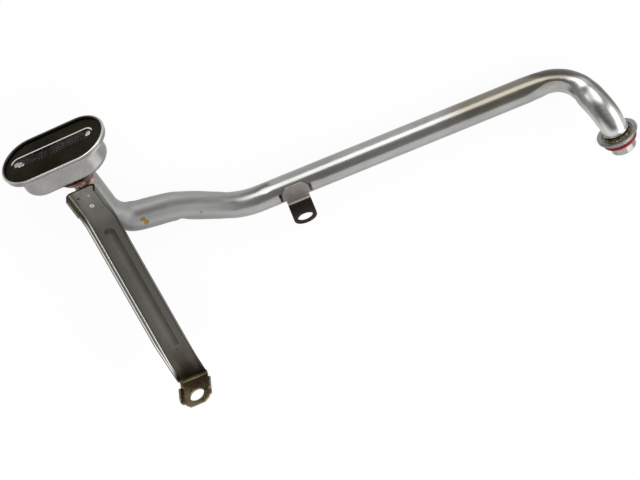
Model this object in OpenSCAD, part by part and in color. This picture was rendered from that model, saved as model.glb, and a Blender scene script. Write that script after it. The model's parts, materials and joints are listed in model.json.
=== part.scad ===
// Oil pickup tube: a bent steel suction tube with an oval inlet cup on one end and an O-ring
// spigot on the other, carried by a channel strap and a small tab. Millimetres.
// The route is written with X along the long run, Z along the tab's bolt and the origin on the
// flange's seat. The whole part is then laid down on the back of its run and the cup's rim.

/* [Suction tube] */
// Outside diameter of the tube
tube_od = 19.05; // [16:0.05:22]
// Wall of the tube
tube_wall = 1.5; // [1:0.1:2.2]
// Centre-line radius of the tight bends at the pump end
bend_r = 28.5; // [26:0.5:30]
// Centre-line radius of the two easy bends of the jog
jog_bend_r = 60; // [45:1:75]
// Centre-line radius of the bend under the neck
neck_bend_r = 25; // [22:0.5:28]
// Long straight run, from corner to corner
run_length = 251.3; // [200:0.1:320]
// Jog, measured along the run
jog_length = 43.4; // [38:0.1:55]
// Jog, measured upwards
jog_rise = 20.2; // [10:0.1:26]
// Tail between the jog and the neck, measured along the run
tail_length = 43.7; // [40:0.1:60]
// Tail, measured upwards
tail_rise = 6; // [2:0.1:10]
// Neck, from its corner to the back of the cup
neck_length = 56.3; // [54:0.1:75]

/* [Pump end] */
// Height of the first corner over the flange seat
first_rise = 17.8; // [17:0.1:22]
// Lean of the spigot along the run
first_in = 2; // [0:0.05:4]
// Lean of the spigot across the run
first_out = 1.35; // [0:0.05:4]
// Leg between the two tight bends, along the run
leg_in = 13.8; // [11:0.1:17]
// Leg between the two tight bends, across the run
leg_side = 30.1; // [28:0.1:36]
// Leg between the two tight bends, upwards
leg_rise = 27.6; // [25:0.1:33]
// Spigot below the flange seat
spigot_length = 13; // [12:0.1:18]
// Lead-in chamfer on the tip of the spigot
spigot_chamfer = 0.8; // [0.4:0.1:1]
// Outside diameter of the flange
flange_od = 30.8; // [30:0.1:36]
// Sheet of the flange
flange_t = 1.6; // [1.2:0.1:2]
// Outside diameter of the dished middle of the flange
dish_od = 26.6; // [26:0.1:28]
// Depth of the dish below the seat
dish_depth = 2.6; // [2:0.1:3.4]
// Section of the O-ring
ring_section = 3.53; // [2.6:0.01:4]
// Depth of the O-ring's seat in the spigot
ring_seat = 0.3; // [0.1:0.05:0.5]

/* [Inlet cup] */
// Length over the rim
cup_length = 82; // [78:0.1:100]
// Width over the rim
cup_width = 45; // [42:0.1:52]
// Length of the drawn body below the rim
body_length = 66; // [60:0.1:70]
// Width of the drawn body below the rim
body_width = 36.6; // [34:0.1:38]
// Height from the back to the top of the rim
cup_height = 23.5; // [18:0.1:30]
// Sheet of the cup
cup_wall = 1; // [0.8:0.1:1.4]
// Outside radius where the wall turns into the back
cup_corner_r = 5; // [3.5:0.1:7]
// Radius of the rolled rim
rim_r = 1.2; // [1:0.05:1.4]
// Cover below the top of the rim
cover_drop = 1.9; // [1.6:0.1:3]
// Sheet of the slotted cover
cover_t = 0.8; // [0.6:0.1:1.2]
// Length of the inlet slot
slot_length = 63.5; // [40:0.1:66]
// Width of the inlet slot
slot_width = 10; // [8:0.1:14]
// Slot off the middle of the cup, along it
slot_shift_x = 1.3; // [0:0.1:3]
// Slot off the middle of the cup, across it
slot_shift_y = 2.9; // [0:0.1:4]
// Sheet of the screen
screen_t = 0.6; // [0.4:0.1:0.9]
// Spacing of the screen's square holes along the slot
screen_pitch = 3.4; // [3:0.1:4.2]
// Side of one hole in the screen
screen_hole = 1.5; // [1.2:0.1:1.8]
// Cup off the neck, along its length
cup_shift_x = 7.4; // [0:0.1:14]
// Cup off the neck, across it
cup_shift_y = 4; // [0:0.1:5]
// Tilt of the cup about the run
cup_lean = 13.5; // [8:0.1:18]
// Tilt of the cup across the run
cup_tip = 7.9; // [4:0.1:12]
// Turn of the cup about the neck
cup_turn = 12.3; // [6:0.1:18]

/* [Strap] */
// Width of the channel
strap_w = 23; // [21:0.1:28]
// Sheet of the strap
strap_t = 1.5; // [1.2:0.1:2]
// Lips of the channel beside the neck, over the back
strap_lip_top = 8.5; // [7.5:0.1:10]
// Lips of the channel on the long leg, over the back
strap_lip = 6.6; // [6:0.1:7.2]
// Lips of the channel above the foot, over the back
heel_lip = 3.2; // [2.8:0.1:4.5]
// Inside radius of the channel's corners
strap_corner_r = 1.6; // [1:0.1:2.4]
// Height of the strap's first bend over the neck's corner
strap_start = 20; // [16:0.1:24]
// Length welded to the neck
strap_top = 28; // [24:0.1:34]
// Long leg of the strap
strap_leg = 125; // [90:0.1:160]
// Short leg above the foot
strap_heel = 18; // [14:0.1:24]
// Angle of the long leg to the neck
strap_out = 20; // [14:0.5:24]
// Angle of the short leg to the neck
heel_out = 10; // [6:0.5:13]
// Inside radius of the strap's easy bends
strap_bend_r = 38; // [30:1:46]
// Strap off the neck, across it
strap_shift = 3.3; // [0:0.1:5]
// Width of the stiffening bead
bead_w = 9; // [7:0.1:11]
// Height of the stiffening bead
bead_h = 1.2; // [0.8:0.1:1.4]
// Width of the foot
foot_w = 25; // [22:0.1:28]
// Foot off the middle of the strap
foot_shift = 1.3; // [0:0.1:2]
// Foot beyond its fold
foot_length = 27; // [25:0.1:32]
// Hole in the foot, from the fold
foot_hole_at = 17.6; // [16:0.1:18.5]
// Bolt hole in the foot
foot_hole_d = 11.5; // [8:0.1:13]
// Inside radius of the fold at the foot
foot_fold_r = 2; // [1.2:0.1:3]
// Lips beside the foot's hole, over its underside
foot_lip = 5; // [4:0.1:6]

/* [Tab] */
// Width of the tab
tab_w = 17.2; // [15:0.1:19]
// Width of the tab's leg, where it is welded to the tube
tab_leg_w = 20.4; // [19:0.1:24]
// Sheet of the tab
tab_t = 1.5; // [1.2:0.1:2.5]
// Distance of the tab from the pump end of the run
tab_at = 212.5; // [150:0.5:220]
// Leg of the tab above the tube's axis
tab_leg = 5; // [3:0.1:7]
// Foot of the tab below the tube's axis
tab_drop = 8; // [7:0.1:12]
// Hole of the tab, from the face of its leg
tab_hole_at = 24.1; // [20:0.1:32]
// Bolt hole in the tab
tab_hole_d = 11.5; // [8:0.1:12]
// Inside radius of the tab's fold
tab_fold_r = 1.5; // [1:0.1:2.5]

/* [Hidden] */
$fn = 96;

// Clearances
// Joint that filler metal is drawn into
braze_gap = 0.1;
// Between a bracket and the tube it is welded to
weld_gap = 0.05;
// Round the O-ring
ring_gap = 0.1;
// Between the cover and the rolled rim
cover_gap = 0.1;
// Bends of the tube stand proud of its straights by this much, so that the two join cleanly
tube_step = 0.15;
// Bends of the strap, likewise
join_step = 0.02;
// How far a straight runs into a bend
join_lap = 0.1;
// How far a cutter runs past the face that it cuts
past = 1;

// Finishes
steel_tube = [0.72, 0.72, 0.70];
steel_strap = [0.45, 0.44, 0.41];
steel_tab = [0.36, 0.34, 0.31];
steel_cup = [0.70, 0.69, 0.67];
blackened = [0.16, 0.14, 0.12];
copper_red = [0.52, 0.30, 0.24];
seal_red = [0.55, 0.07, 0.09];

// Route of the tube
tube_r = tube_od / 2;
tube_bore_r = tube_r - tube_wall;

function unit(v) = v / norm(v);

corner_1 = [-first_in, -first_out, first_rise];
corner_2 = corner_1 + [-leg_in, leg_side, leg_rise];
corner_3 = corner_2 + [-run_length, 0, 0];
corner_4 = corner_3 + [-jog_length, 0, jog_rise];
corner_5 = corner_4 + [-tail_length, 0, tail_rise];

// Axes of the cup: x along its length, z out of its mouth
cup_x = [cos(cup_turn) * cos(cup_tip), -sin(cup_turn) * cos(cup_tip), sin(cup_tip)];
cup_level = [sin(cup_turn), cos(cup_turn), 0];
cup_y = cos(cup_lean) * cup_level + sin(cup_lean) * cross(cup_x, cup_level);
cup_z = cross(cup_x, cup_y);

spigot_axis = unit(corner_1);
neck_end = neck_length + 2 * cup_wall;
route = [
    -spigot_length * spigot_axis, corner_1, corner_2, corner_3, corner_4, corner_5,
    corner_5 + neck_end * cup_z
];
route_r = [0, bend_r, bend_r, jog_bend_r, jog_bend_r, neck_bend_r, 0];
last = len(route) - 1;

function heading(i) = unit(route[i + 1] - route[i]);
function turn_at(i) = acos(heading(i - 1) * heading(i));
function tangent_at(i) = i == 0 || i == last ? 0 : route_r[i] * tan(turn_at(i) / 2);
function bend_start(i) = route[i] - tangent_at(i) * heading(i - 1);
function bend_end(i) = i == 0 ? route[0] : route[i] + tangent_at(i) * heading(i);
function inward(i) = unit(heading(i) - (heading(i) * heading(i - 1)) * heading(i - 1));
function span_at(i) = norm(bend_start(i + 1) - bend_end(i));

// Roll of the tube from the plane of one bend to the plane of the next
function carried(i) = cos(turn_at(i)) * inward(i) - sin(turn_at(i)) * heading(i - 1);
function roll_between(a, b, axis) = atan2(cross(a, b) * axis, a * b);
function roll_at(i) = i == 1 ? 0 : roll_between(carried(i - 1), inward(i), heading(i - 1));
spigot_top = norm(bend_start(1));

// O-ring's seat, and the plain end of the spigot beyond it
seat_low = -dish_depth - ring_section - 2 * ring_gap;
plain_low = spigot_chamfer - spigot_length;
plain_middle = (seat_low + plain_low) / 2;

// Cup, heights above its back
cup_r = cup_width / 2;
cup_half = (cup_length - cup_width) / 2;
body_r = body_width / 2;
body_half = (body_length - body_width) / 2;
rim_line = cup_r - rim_r;
cover_r = rim_line - rim_r - cover_gap;
cover_top = cup_height - cover_drop;
cover_low = cover_top - cover_t;
ledge_top = cover_low - screen_t;
ledge_low = ledge_top - cup_wall;
collar_r = tube_r + braze_gap;
braze_leg = 3.2;
slot_half = (slot_length - slot_width) / 2;

// Screen: rows of square holes set on their corners
screen_rows = 2;
screen_columns = floor(slot_half / screen_pitch) + 1;

// Strap
strap_back = tube_r + weld_gap;
strap_outer_r = strap_corner_r + strap_t;
strap_turn_tangent = strap_bend_r * tan(strap_out / 2);
heel_turn = strap_out - heel_out;
heel_tangent = (strap_bend_r + strap_t) * tan(heel_turn / 2);
fold_turn = 90 - heel_out;
fold_tangent = foot_fold_r * tan(fold_turn / 2);
fold_relief = 0.5;
strap_neck_run = strap_top - strap_turn_tangent;
strap_leg_run = strap_leg - strap_turn_tangent - heel_tangent;
strap_heel_run = strap_heel - heel_tangent - fold_tangent;
heel_trim_span = strap_leg / 2;
strap_step = 4;
foot_run = foot_length - fold_tangent;
foot_hole_run = foot_hole_at - fold_tangent;
foot_ear_from = 4.5;
foot_ear_end = 5;
foot_ear_span = foot_run - foot_ear_from - foot_ear_end;
foot_corner_r = 0.8 * foot_lip;
foot_cut = 3.5;
fold_w = strap_w - 1;
bead_r = (bead_w * bead_w / 4 + bead_h * bead_h) / (2 * bead_h);
bead_margin = bead_w;

// Rest: the part lies on the back of the run and on the rim of the cup, tipped about the run
rim_middle = corner_5 - cup_shift_x * cup_x + cup_shift_y * cup_y
    + (neck_length + cup_height - rim_r) * cup_z;
rest_steps = 40;
function down(tip) = [0, cos(tip), -sin(tip)];
function run_reach(d) = corner_2 * d + tube_r + tube_step;
function rim_reach(d) = rim_middle * d + cup_half * abs(cup_x * d)
    + rim_line * norm([cup_x * d, cup_y * d]) + rim_r;
function rim_is_lower(tip) = rim_reach(down(tip)) > run_reach(down(tip));
function rest_between(a, b, n) = n == 0 ? (a + b) / 2
    : rim_is_lower((a + b) / 2) ? rest_between((a + b) / 2, b, n - 1) : rest_between(a, (a + b) / 2, n - 1);
rest_tip = rest_between(-30, 30, rest_steps);

// Tab
tab_face = tube_r + weld_gap + tab_t;
tab_corner = 4;
tab_shoulder_at = 1.5;

// Set a child in a frame given by its origin and axes
module set_in(o, x, y, z) {
    multmatrix([
        [x[0], y[0], z[0], o[0]],
        [x[1], y[1], z[1], o[1]],
        [x[2], y[2], z[2], o[2]],
        [0, 0, 0, 1]
    ]) children();
}

module in_spigot() {
    x = inward(1);
    set_in([0, 0, 0], x, cross(spigot_axis, x), spigot_axis) children();
}

module in_neck() {
    set_in(corner_5, cup_x, cup_y, cup_z) children();
}

module in_cup() {
    in_neck() translate([-cup_shift_x, cup_shift_y, neck_length]) children();
}

// Lay the part down, with the middle of the plain spigot at the origin
module at_rest() {
    rotate([rest_tip - 90, 0, 0]) translate(-plain_middle * spigot_axis) children();
}

// Ring of tube wall
module tube_ring(step = 0) {
    difference() {
        circle(r = tube_r + step);
        circle(r = tube_bore_r - step);
    }
}

// One bend, towards x, that starts at the origin along z
module tube_bend(i) {
    set_in([route_r[i], 0, 0], [-1, 0, 0], [0, 0, 1], [0, 1, 0])
        rotate_extrude(angle = turn_at(i)) translate([route_r[i], 0]) tube_ring(tube_step);
}

module after_tube_bend(i) {
    translate([route_r[i], 0, 0]) rotate([0, turn_at(i), 0]) translate([-route_r[i], 0, 0]) children();
}

// Bend, straight, roll, and so on to the end of the route
module tube_from(i) {
    rotate(roll_at(i)) {
        tube_bend(i);
        after_tube_bend(i) {
            translate([0, 0, -join_lap])
                linear_extrude(span_at(i) + (i < last - 1 ? 2 : 1) * join_lap) tube_ring();
            if (i < last - 1) translate([0, 0, span_at(i)]) tube_from(i + 1);
        }
    }
}

// Spigot with its chamfered tip and the O-ring's seat
module tube_spigot() {
    tip = -spigot_length;
    seat_r = tube_r - ring_seat;
    rotate_extrude() polygon([
        [tube_bore_r, tip], [tube_r - spigot_chamfer, tip], [tube_r, tip + spigot_chamfer],
        [tube_r, seat_low], [seat_r, seat_low], [seat_r, -dish_depth], [tube_r, -dish_depth],
        [tube_r, spigot_top + join_lap], [tube_bore_r, spigot_top + join_lap]
    ]);
}

module suction_tube() {
    color(steel_tube) at_rest() in_spigot() {
        tube_spigot();
        translate([0, 0, spigot_top]) tube_from(1);
    }
}

module pump_flange() {
    rim = flange_od / 2;
    dish = dish_od / 2;
    color(steel_tube) at_rest() in_spigot() rotate_extrude() polygon([
        [collar_r, -dish_depth], [dish - flange_t / 2, -dish_depth], [dish, -dish_depth + flange_t / 2],
        [dish, 0], [rim, 0], [rim, flange_t], [dish - flange_t, flange_t],
        [dish - flange_t, flange_t - dish_depth], [collar_r, flange_t - dish_depth]
    ]);
}

// Fillet of filler metal round the tube, leaning on a flat wall below it
module braze_fillet(leg) {
    rotate_extrude() difference() {
        translate([collar_r, 0]) square(leg);
        translate([collar_r + leg, leg]) circle(r = leg);
    }
}

module flange_braze() {
    floor_at = flange_t - dish_depth;
    color(copper_red) at_rest() in_spigot() translate([0, 0, floor_at])
        braze_fillet(dish_od / 2 - flange_t - collar_r - braze_gap);
}

module o_ring() {
    section = ring_section / 2;
    color(seal_red) at_rest() in_spigot() translate([0, 0, -dish_depth - ring_gap - section])
        rotate_extrude() translate([tube_r - ring_seat + ring_gap + section, 0]) circle(r = section);
}

// Sweep half a section, drawn from the middle outwards, round an oval
module oval_sweep(half) {
    for (side = [0, 1]) rotate(180 * side) {
        translate([half, 0]) rotate(-90) rotate_extrude(angle = 180) children();
        translate([half, 0]) rotate([90, 0, -90]) linear_extrude(2 * half) children();
    }
}

// Section of the drawn body: back, round corner and wall
module body_section() {
    flat = body_r - cup_corner_r;
    difference() {
        union() {
            square([flat, cup_wall]);
            translate([flat, cup_corner_r]) intersection() {
                circle(r = cup_corner_r);
                translate([0, -cup_corner_r]) square(cup_corner_r);
            }
        }
        translate([flat, cup_corner_r]) circle(r = cup_corner_r - cup_wall);
    }
    translate([body_r - cup_wall, cup_corner_r]) square([cup_wall, ledge_top - cup_corner_r]);
}

// Section of the rim: upright and rolled edge
module rim_section() {
    translate([rim_line - cup_wall / 2, ledge_low]) square([cup_wall, cup_height - rim_r - ledge_low]);
    translate([rim_line, cup_height - rim_r]) circle(r = rim_r);
}

module pickup_cup() {
    color(steel_cup) at_rest() difference() {
        in_cup() {
            oval_sweep(body_half) body_section();
            translate([0, 0, ledge_low]) linear_extrude(cup_wall) difference() {
                oval(cup_half, rim_line);
                oval(body_half, body_r - cup_wall);
            }
            oval_sweep(cup_half) rim_section();
        }
        in_neck() translate([0, 0, neck_length - past]) cylinder(r = collar_r, h = cup_wall + 2 * past);
    }
}

module neck_braze() {
    color(copper_red) at_rest() in_neck() translate([0, 0, neck_length]) mirror([0, 0, 1])
        braze_fillet(braze_leg);
}

module oval(half, r) {
    square([2 * half, 2 * r], center = true);
    for (side = [-1, 1]) translate([side * half, 0]) circle(r = r);
}

module slotted_cover() {
    color(blackened) at_rest() in_cup() translate([0, 0, cover_low]) linear_extrude(cover_t)
        difference() {
            oval(cup_half, cover_r);
            translate([-slot_shift_x, slot_shift_y]) oval(slot_half, slot_width / 2);
        }
}

module screen_hole_at(x, y) {
    translate([x, y]) rotate(45) square(screen_hole, center = true);
}

module mesh_screen() {
    color(steel_tab) at_rest() in_cup() translate([0, 0, ledge_top]) linear_extrude(screen_t)
        difference() {
            oval(cup_half, cover_r);
            translate([-slot_shift_x, slot_shift_y]) for (row = [-screen_rows : screen_rows]) {
                stagger = abs(row) % 2 / 2;
                for (column = [-screen_columns : screen_columns - 2 * stagger])
                    screen_hole_at((column + stagger) * screen_pitch, row * screen_pitch / 2);
            }
        }
}

// Strap frame: x across, y out of the back, z down the strap from its top edge
module in_strap() {
    in_neck() translate([-strap_shift, -strap_back, strap_start + strap_top])
        rotate([180, 0, 0]) children();
}

// Trough with round lower corners
module trough(w, h, r) {
    translate([-w / 2, r]) square([w, h - r]);
    translate([r - w / 2, 0]) square([w - 2 * r, h]);
    for (side = [-1, 1]) translate([side * (w / 2 - r), r]) circle(r = r);
}

module channel(w, lip, step = 0) {
    difference() {
        translate([0, -step]) trough(w + 2 * step, lip + 2 * step, strap_outer_r + step);
        translate([0, strap_t + step]) trough(w - 2 * strap_t - 2 * step, lip, strap_corner_r - step);
    }
}

// Follow a bend towards the open side of the channel, or towards its back
module after_bend_in(angle, front_r) {
    axis = front_r + strap_t;
    translate([0, axis, 0]) rotate([-angle, 0, 0]) translate([0, -axis, 0]) children();
}

module after_bend_back(angle, back_r) {
    translate([0, -back_r, 0]) rotate([angle, 0, 0]) translate([0, back_r, 0]) children();
}

module bend_in(angle, front_r) {
    axis = front_r + strap_t;
    set_in([0, axis, 0], [0, -1, 0], [0, 0, 1], [-1, 0, 0])
        rotate_extrude(angle = angle) translate([axis, 0]) rotate(90) children();
}

module bend_back(angle, back_r) {
    set_in([0, -back_r, 0], [0, 1, 0], [0, 0, 1], [1, 0, 0])
        rotate_extrude(angle = angle) translate([back_r, 0]) rotate(-90) children();
}

// Pressed bead: a long capsule that stands out of the web
module bead_capsule(r, span) {
    translate([0, strap_t + bead_h - bead_r, 0]) {
        cylinder(r = r, h = span);
        for (end = [0, 1]) translate([0, 0, end * span]) sphere(r = r);
    }
}

module strap_long_leg() {
    bead_span = strap_leg_run - 2 * bead_margin;
    difference() {
        union() {
            translate([0, 0, -join_lap]) linear_extrude(strap_leg_run + 2 * join_lap)
                channel(strap_w, strap_lip);
            intersection() {
                translate([0, 0, bead_margin]) bead_capsule(bead_r, bead_span);
                translate([-bead_w, strap_t / 2, 0]) cube([2 * bead_w, bead_r, strap_leg_run]);
            }
        }
        translate([0, 0, bead_margin]) bead_capsule(bead_r - strap_t, bead_span);
    }
}

module strap_web(w, step = 0) {
    translate([-w / 2 - step, -step]) square([w + 2 * step, strap_t + 2 * step]);
}

// Foot with its hole, and round-cornered ears beside the hole
module strap_foot() {
    w = foot_w - 2 * strap_outer_r;
    rotate([90, 0, 0]) translate([0, 0, -strap_t]) linear_extrude(strap_t) difference() {
        foot_outline(w / 2);
        translate([0, foot_hole_run]) circle(d = foot_hole_d);
    }
    intersection() {
        translate([0, 0, foot_ear_from]) linear_extrude(foot_ear_span) difference() {
            channel(foot_w, foot_lip);
            translate([0, strap_t / 2]) square([w, strap_t + past], center = true);
        }
        translate([-foot_w / 2 - past, 0, foot_ear_from]) rotate([90, 0, 90])
            linear_extrude(foot_w + 2 * past) ear_side();
    }
}

// Plate of the foot: as wide as the fold, then narrower between the ears, with cut end corners
module foot_outline(half) {
    fold_left = -fold_w / 2 - foot_shift;
    fold_right = fold_w / 2 - foot_shift;
    shoulder = foot_ear_from / 2;
    polygon([
        [fold_left, -join_lap], [fold_right, -join_lap], [fold_right, shoulder], [half, foot_ear_from],
        [half, foot_run - foot_cut], [half - foot_cut, foot_run], [foot_cut - half, foot_run],
        [-half, foot_run - foot_cut], [-half, foot_ear_from], [fold_left, shoulder]
    ]);
}

// Ear seen from its side: height along x, the way to the end of the foot along y
module ear_side() {
    square([foot_lip - foot_corner_r, foot_ear_span]);
    translate([0, foot_corner_r]) square([foot_lip, foot_ear_span - 2 * foot_corner_r]);
    for (at = [foot_corner_r, foot_ear_span - foot_corner_r])
        translate([foot_lip - foot_corner_r, at]) circle(r = foot_corner_r);
}

module strap_bracket() {
    w = strap_w - 2 * strap_outer_r;
    color(steel_strap) at_rest() in_strap() {
        linear_extrude(strap_neck_run - strap_step) channel(strap_w, strap_lip_top);
        translate([0, 0, strap_neck_run - strap_step]) linear_extrude(strap_step + join_lap)
            channel(strap_w, strap_lip);
        translate([0, 0, strap_neck_run]) {
            bend_in(strap_out, strap_bend_r) channel(strap_w, strap_lip, join_step);
            after_bend_in(strap_out, strap_bend_r) {
                difference() {
                    strap_leg_and_heel();
                    at_heel() heel_trim();
                }
                at_heel() strap_lower_end(w);
            }
        }
    }
}

module at_heel() {
    translate([0, 0, strap_leg_run]) after_bend_back(heel_turn, strap_bend_r) children();
}

module strap_leg_and_heel() {
    strap_long_leg();
    translate([0, 0, strap_leg_run]) bend_back(heel_turn, strap_bend_r) channel(strap_w, strap_lip, join_step);
    at_heel() translate([0, 0, -join_lap]) linear_extrude(strap_heel_run - fold_relief + join_lap)
        channel(strap_w, strap_lip);
}

// What is cut off the lips, so that they run out towards the foot
module heel_trim() {
    translate([-strap_w, heel_lip, -heel_trim_span])
        cube([2 * strap_w, strap_lip + past, heel_trim_span + strap_heel_run]);
}

module strap_lower_end(w) {
    translate([0, 0, join_lap]) linear_extrude(strap_heel_run) strap_web(w);
    translate([0, 0, strap_heel_run]) {
        bend_in(fold_turn, foot_fold_r) strap_web(fold_w, join_step);
        after_bend_in(fold_turn, foot_fold_r) translate([foot_shift, 0, 0]) strap_foot();
    }
}

module in_tab() {
    translate(corner_2 - [tab_at, 0, 0]) children();
}

// Leg that widens into two shoulders beside the tube and has cut upper corners
module tab_leg_outline() {
    top = tab_drop + tab_leg - tab_fold_r;
    shoulder = tab_leg_w / 2;
    polygon([
        [-tab_w / 2, 0], [tab_w / 2, 0], [tab_w / 2, tab_shoulder_at], [shoulder, 2 * tab_shoulder_at],
        [shoulder, top - tab_corner], [shoulder - tab_corner, top], [tab_corner - shoulder, top],
        [-shoulder, top - tab_corner], [-shoulder, 2 * tab_shoulder_at], [-tab_w / 2, tab_shoulder_at]
    ]);
}

module tab_bracket() {
    fold_axis = tab_fold_r + tab_t;
    foot_span = tab_hole_at - tab_fold_r;
    color(steel_tab) at_rest() in_tab() {
        translate([0, -tab_face, tab_fold_r - tab_drop]) rotate([-90, 0, 0]) linear_extrude(tab_t)
            mirror([0, 1]) tab_leg_outline();
        translate([-tab_w / 2, -tab_face - tab_fold_r, tab_fold_r - tab_drop])
            set_in([0, 0, 0], [0, 0, -1], [0, 1, 0], [1, 0, 0])
                rotate_extrude(angle = 90) translate([tab_fold_r, 0]) square([tab_t, tab_w]);
        translate([0, -tab_face - tab_fold_r, -tab_drop - tab_t]) linear_extrude(tab_t) difference() {
            union() {
                translate([-tab_w / 2, -foot_span]) square([tab_w, foot_span]);
                translate([0, -foot_span]) circle(d = tab_w);
            }
            translate([0, -foot_span]) circle(d = tab_hole_d);
        }
    }
}

suction_tube();
pump_flange();
flange_braze();
o_ring();
pickup_cup();
neck_braze();
slotted_cover();
mesh_screen();
strap_bracket();
tab_bracket();
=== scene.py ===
"""Looks, light and camera for a bent oil pickup tube with its inlet cup, strap and tab. Metres."""
import json
import math

import bmesh
import bpy
from mathutils import Matrix, Vector, noise


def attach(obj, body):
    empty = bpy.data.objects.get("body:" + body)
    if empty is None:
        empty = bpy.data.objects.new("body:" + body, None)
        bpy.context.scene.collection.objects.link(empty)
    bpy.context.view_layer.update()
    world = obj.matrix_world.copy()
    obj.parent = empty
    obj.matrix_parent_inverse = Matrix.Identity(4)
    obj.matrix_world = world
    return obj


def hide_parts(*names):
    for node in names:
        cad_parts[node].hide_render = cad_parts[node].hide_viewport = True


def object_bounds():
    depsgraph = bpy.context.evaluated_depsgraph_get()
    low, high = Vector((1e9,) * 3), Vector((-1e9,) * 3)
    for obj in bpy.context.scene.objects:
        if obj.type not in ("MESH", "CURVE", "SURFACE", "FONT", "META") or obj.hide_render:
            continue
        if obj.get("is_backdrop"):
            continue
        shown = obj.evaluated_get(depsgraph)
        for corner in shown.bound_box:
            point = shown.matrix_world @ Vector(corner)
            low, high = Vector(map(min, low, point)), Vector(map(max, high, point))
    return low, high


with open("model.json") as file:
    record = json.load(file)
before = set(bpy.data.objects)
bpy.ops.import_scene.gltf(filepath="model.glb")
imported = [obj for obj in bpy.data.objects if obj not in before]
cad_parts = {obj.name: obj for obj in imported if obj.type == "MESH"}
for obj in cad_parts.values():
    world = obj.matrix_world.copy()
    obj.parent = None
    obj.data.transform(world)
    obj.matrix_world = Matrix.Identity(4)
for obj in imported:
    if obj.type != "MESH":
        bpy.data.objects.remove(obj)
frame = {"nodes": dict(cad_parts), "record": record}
cad_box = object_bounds()
nodes = frame["nodes"]
mounts = {m["name"]: m for m in frame["record"]["mounts"]}
MM = 0.001

# View of the photograph: it looks down on the part, turned about the line of sight
VIEW_ELEVATION = math.radians(65.312)
VIEW_ROLL = math.radians(22.15)
VIEW_DISTANCE = 2.854
SENSOR_WIDTH = 36.0
PICTURE_SIZE = (640, 480)
FOCAL_PIXELS = 4000.0
# Pixel of the photograph that shows the middle of the flange
FLANGE_PIXEL = (617.0, 132.9)

# Pump spigot, in millimetres: the seat of the flange over the origin, and the flange's thickness
FLANGE_SEAT = 9.265
FLANGE_T = 1.6
spigot_out = Vector(mounts["pump_spigot"]["axis"]).normalized()
flange_middle = -MM * (FLANGE_SEAT + FLANGE_T / 2) * spigot_out
# Side of the flange that the flux has stained
FLANGE_STAIN_SIDE = Vector((0.070, -0.125, 0.990))
STAIN_FROM = flange_middle.dot(FLANGE_STAIN_SIDE) + 2.0 * MM
# Outer and upper side of the pump bend, and where the painted shade on each starts
BEND_OUT = Vector((0.921, 0.353, -0.162))
BEND_EDGE = flange_middle.dot(BEND_OUT) + 9.5 * MM
BEND_UP = Vector((0.377, 0.842, -0.387))
BEND_TOP = flange_middle.dot(BEND_UP) + 37.5 * MM

# Tube, in millimetres: corners of its middle line from the spigot's tip to its end in the cup, with
# the radius of the bend at each
ROUTE = (
    ((0.416, -3.679, -0.494), 0.0),
    ((-3.032, 26.818, 3.602), 28.5),
    ((-16.832, 56.111, -24.854), 28.5),
    ((-268.132, 56.111, -24.854), 60.0),
    ((-311.532, 76.277, -23.687), 60.0),
    ((-355.232, 82.267, -23.340), 25.0),
    ((-365.744, 137.652, -8.478), 0.0),
)
TUBE_R = 9.525
TUBE_WALL = 1.5
TUBE_SIDES = 72
# Steps between rings of the tube's skin, at the spigot and beyond it
FINE_STEP = 0.5
RING_STEP = 1.5
FINE_UNTIL = 30.0
# Change of the tube's radius along the spigot: chamfered tip, seat of the O-ring, bead over the flange
SPIGOT = (
    (0.0, -0.8), (0.8, 0.0), (6.67, 0.0), (6.72, -0.3), (10.35, -0.3), (10.4, 0.0),
    (16.6, 0.0), (17.2, 0.35), (17.9, 0.0), (500.0, 0.0),
)
# Width of the bent tube along its route, as a share of the round tube's
WIDTHS = (
    (0, 1.0), (20, 1.0), (30, 1.06), (48, 1.07), (56, 0.98), (66, 0.92), (76, 0.885), (84, 0.90),
    (92, 0.965), (102, 1.0), (322, 1.0), (329, 0.985), (335, 1.025), (352, 1.07), (361, 1.05),
    (369, 1.10), (384, 1.14), (398, 1.135), (408, 1.0), (500, 1.0),
)
# Direction that the bends were pressed from
PRESSED_FROM = Vector((0.0, 0.418, 0.909))
# Flats and creases: place along the tube, reach along it, side of the tube, and depth
FLATS = (
    (72, 18, (-0.583, -0.583, 0.566), 1.5),
    (76, 26, (-0.378, -0.139, 0.907), 1.1),
    (280, 24, (0.0, -0.058, 0.998), 0.3),
    (299, 5, (0.0, 0.75, 0.66), 0.3),
    (326, 9, (0.0, 0.30, 0.95), 0.5),
    (362, 5, (0.0, -0.90, 0.42), 0.8),
    (407, 14, (0.69, 0.69, 0.21), 0.7),
)

# Painted shade in dark bands along the jog and along the leg to the pump, and painted light along one side
# of the jog
JOG_PAINTED_SHADE = (
    (-338.5, 85.6, -15.7), (-313.0, 82.7, -16.9), (-300.3, 78.6, -17.1), (-272.8, 66.6, -18.4),
    (-247.3, 65.1, -21.7),
)
LEG_PAINTED_SHADE = ((-10.6, 49.0, -4.3), (-9.4, 40.3, 3.1), (-7.9, 30.0, 8.6), (-4.4, 19.4, 11.5))
JOG_PAINTED_LIGHT_LINE = ((-339.9, 80.0, -14.1), (-317.5, 76.7, -14.1), (-301.5, 72.2, -14.6), (-269.5, 58.3, -15.3))

# Cup: middle of its back, and its axes along its length, across it and out of its mouth
CUP_BACK = MM * Vector((-371.841, 135.971, -14.373))
CUP_AXES = (
    (0.967773, 0.125025, 0.218597),
    (0.175795, 0.286124, -0.941928),
    (-0.180310, 0.950001, 0.254924),
)
cup_place = Matrix.Translation(CUP_BACK) @ Matrix(CUP_AXES).transposed().to_4x4()
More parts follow.
